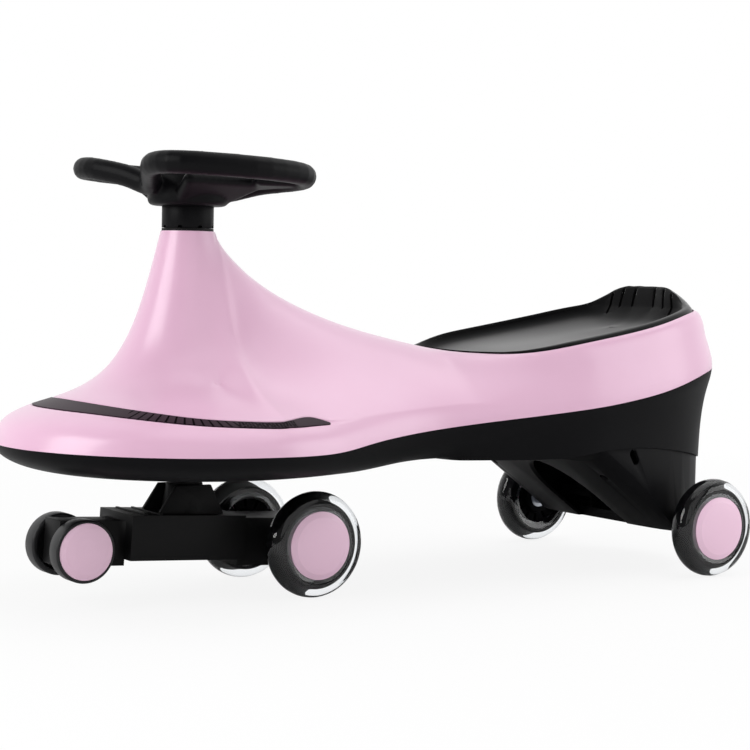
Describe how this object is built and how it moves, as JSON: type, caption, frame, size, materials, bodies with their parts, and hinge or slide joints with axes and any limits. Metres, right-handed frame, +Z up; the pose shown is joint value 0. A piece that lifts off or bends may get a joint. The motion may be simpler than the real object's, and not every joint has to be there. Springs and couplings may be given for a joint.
{
  "type": "wiggle car",
  "caption": "Ride-on wiggle car with a waisted gloss pink body on a black base, dished seat, lobed steering wheel, swivelling front bogie with guide wheels and clear-tyred wheels.",
  "frame": {"origin": "on the ground, under the middle of the car's length and width", "axes": "+X forward towards the nose, +Y to the rider's left, +Z up"},
  "size_m": [0.8, 0.3232, 0.4083],
  "materials": {
    "pink_gloss": "gloss injection-moulded polypropylene",
    "black_satin": "satin injection-moulded polypropylene",
    "black_rubber": "matt black rubber",
    "clear_polyurethane": "clear cast polyurethane",
    "zinc_steel": "zinc-plated steel"
  },
  "bodies": {
    "chassis": {"body_shell": "pink_gloss", "base_tray": "black_satin", "rear_axle_housing": "black_satin", "seat": "black_satin", "front_trim": "black_satin", "upper_bush": "black_satin", "lower_bush": "black_satin", "shell_screws": "zinc_steel", "seat_screws": "zinc_steel", "housing_screws": "zinc_steel", "rear_axle": "zinc_steel", "rear_axle_nuts": "zinc_steel", "rear_spacers": "zinc_steel"},
    "steering": {"steering_wheel": "black_satin", "steering_cap": "black_satin", "column_sleeve": "black_satin", "steering_shaft": "zinc_steel", "wheel_washer": "zinc_steel", "wheel_nut": "zinc_steel", "bogie_frame": "black_satin", "thrust_washer": "black_satin", "shaft_washer": "zinc_steel", "shaft_nut": "zinc_steel", "front_axle": "zinc_steel", "front_axle_nuts": "zinc_steel", "front_spacers": "zinc_steel", "guide_axle": "zinc_steel", "guide_clips": "zinc_steel"},
    "front_left_wheel": {"front_left_core": "black_satin", "front_left_tyre": "clear_polyurethane", "front_left_cap": "pink_gloss", "front_left_bearings": "zinc_steel", "front_left_sleeve": "zinc_steel"},
    "front_right_wheel": {"front_right_core": "black_satin", "front_right_tyre": "clear_polyurethane", "front_right_cap": "pink_gloss", "front_right_bearings": "zinc_steel", "front_right_sleeve": "zinc_steel"},
    "rear_left_wheel": {"rear_left_core": "black_satin", "rear_left_tyre": "clear_polyurethane", "rear_left_cap": "pink_gloss", "rear_left_bearings": "zinc_steel", "rear_left_sleeve": "zinc_steel"},
    "rear_right_wheel": {"rear_right_core": "black_satin", "rear_right_tyre": "clear_polyurethane", "rear_right_cap": "pink_gloss", "rear_right_bearings": "zinc_steel", "rear_right_sleeve": "zinc_steel"},
    "guide_left_roller": {"guide_left_wheel": "black_rubber", "guide_left_cap": "pink_gloss"},
    "guide_right_roller": {"guide_right_wheel": "black_rubber", "guide_right_cap": "pink_gloss"}
  },
  "joints": [
    {"name": "steering_turn", "type": "hinge", "parent": "chassis", "child": "steering", "pos_m": [0.221, 0, 0.2], "axis": [0, 0, 1], "continuous": true},
    {"name": "front_left_spin", "type": "hinge", "parent": "steering", "child": "front_left_wheel", "pos_m": [0.1185, 0.0665, 0.05], "axis": [0, 1, 0], "continuous": true},
    {"name": "front_right_spin", "type": "hinge", "parent": "steering", "child": "front_right_wheel", "pos_m": [0.1185, -0.0665, 0.05], "axis": [0, 1, 0], "continuous": true},
    {"name": "rear_left_spin", "type": "hinge", "parent": "chassis", "child": "rear_left_wheel", "pos_m": [-0.313, 0.146, 0.05], "axis": [0, 1, 0], "continuous": true},
    {"name": "rear_right_spin", "type": "hinge", "parent": "chassis", "child": "rear_right_wheel", "pos_m": [-0.313, -0.146, 0.05], "axis": [0, 1, 0], "continuous": true},
    {"name": "guide_left_spin", "type": "hinge", "parent": "steering", "child": "guide_left_roller", "pos_m": [0.3364, 0.0265, 0.053], "axis": [0, 1, 0], "continuous": true},
    {"name": "guide_right_spin", "type": "hinge", "parent": "steering", "child": "guide_right_roller", "pos_m": [0.3364, -0.0265, 0.053], "axis": [0, 1, 0], "continuous": true}
  ]
}
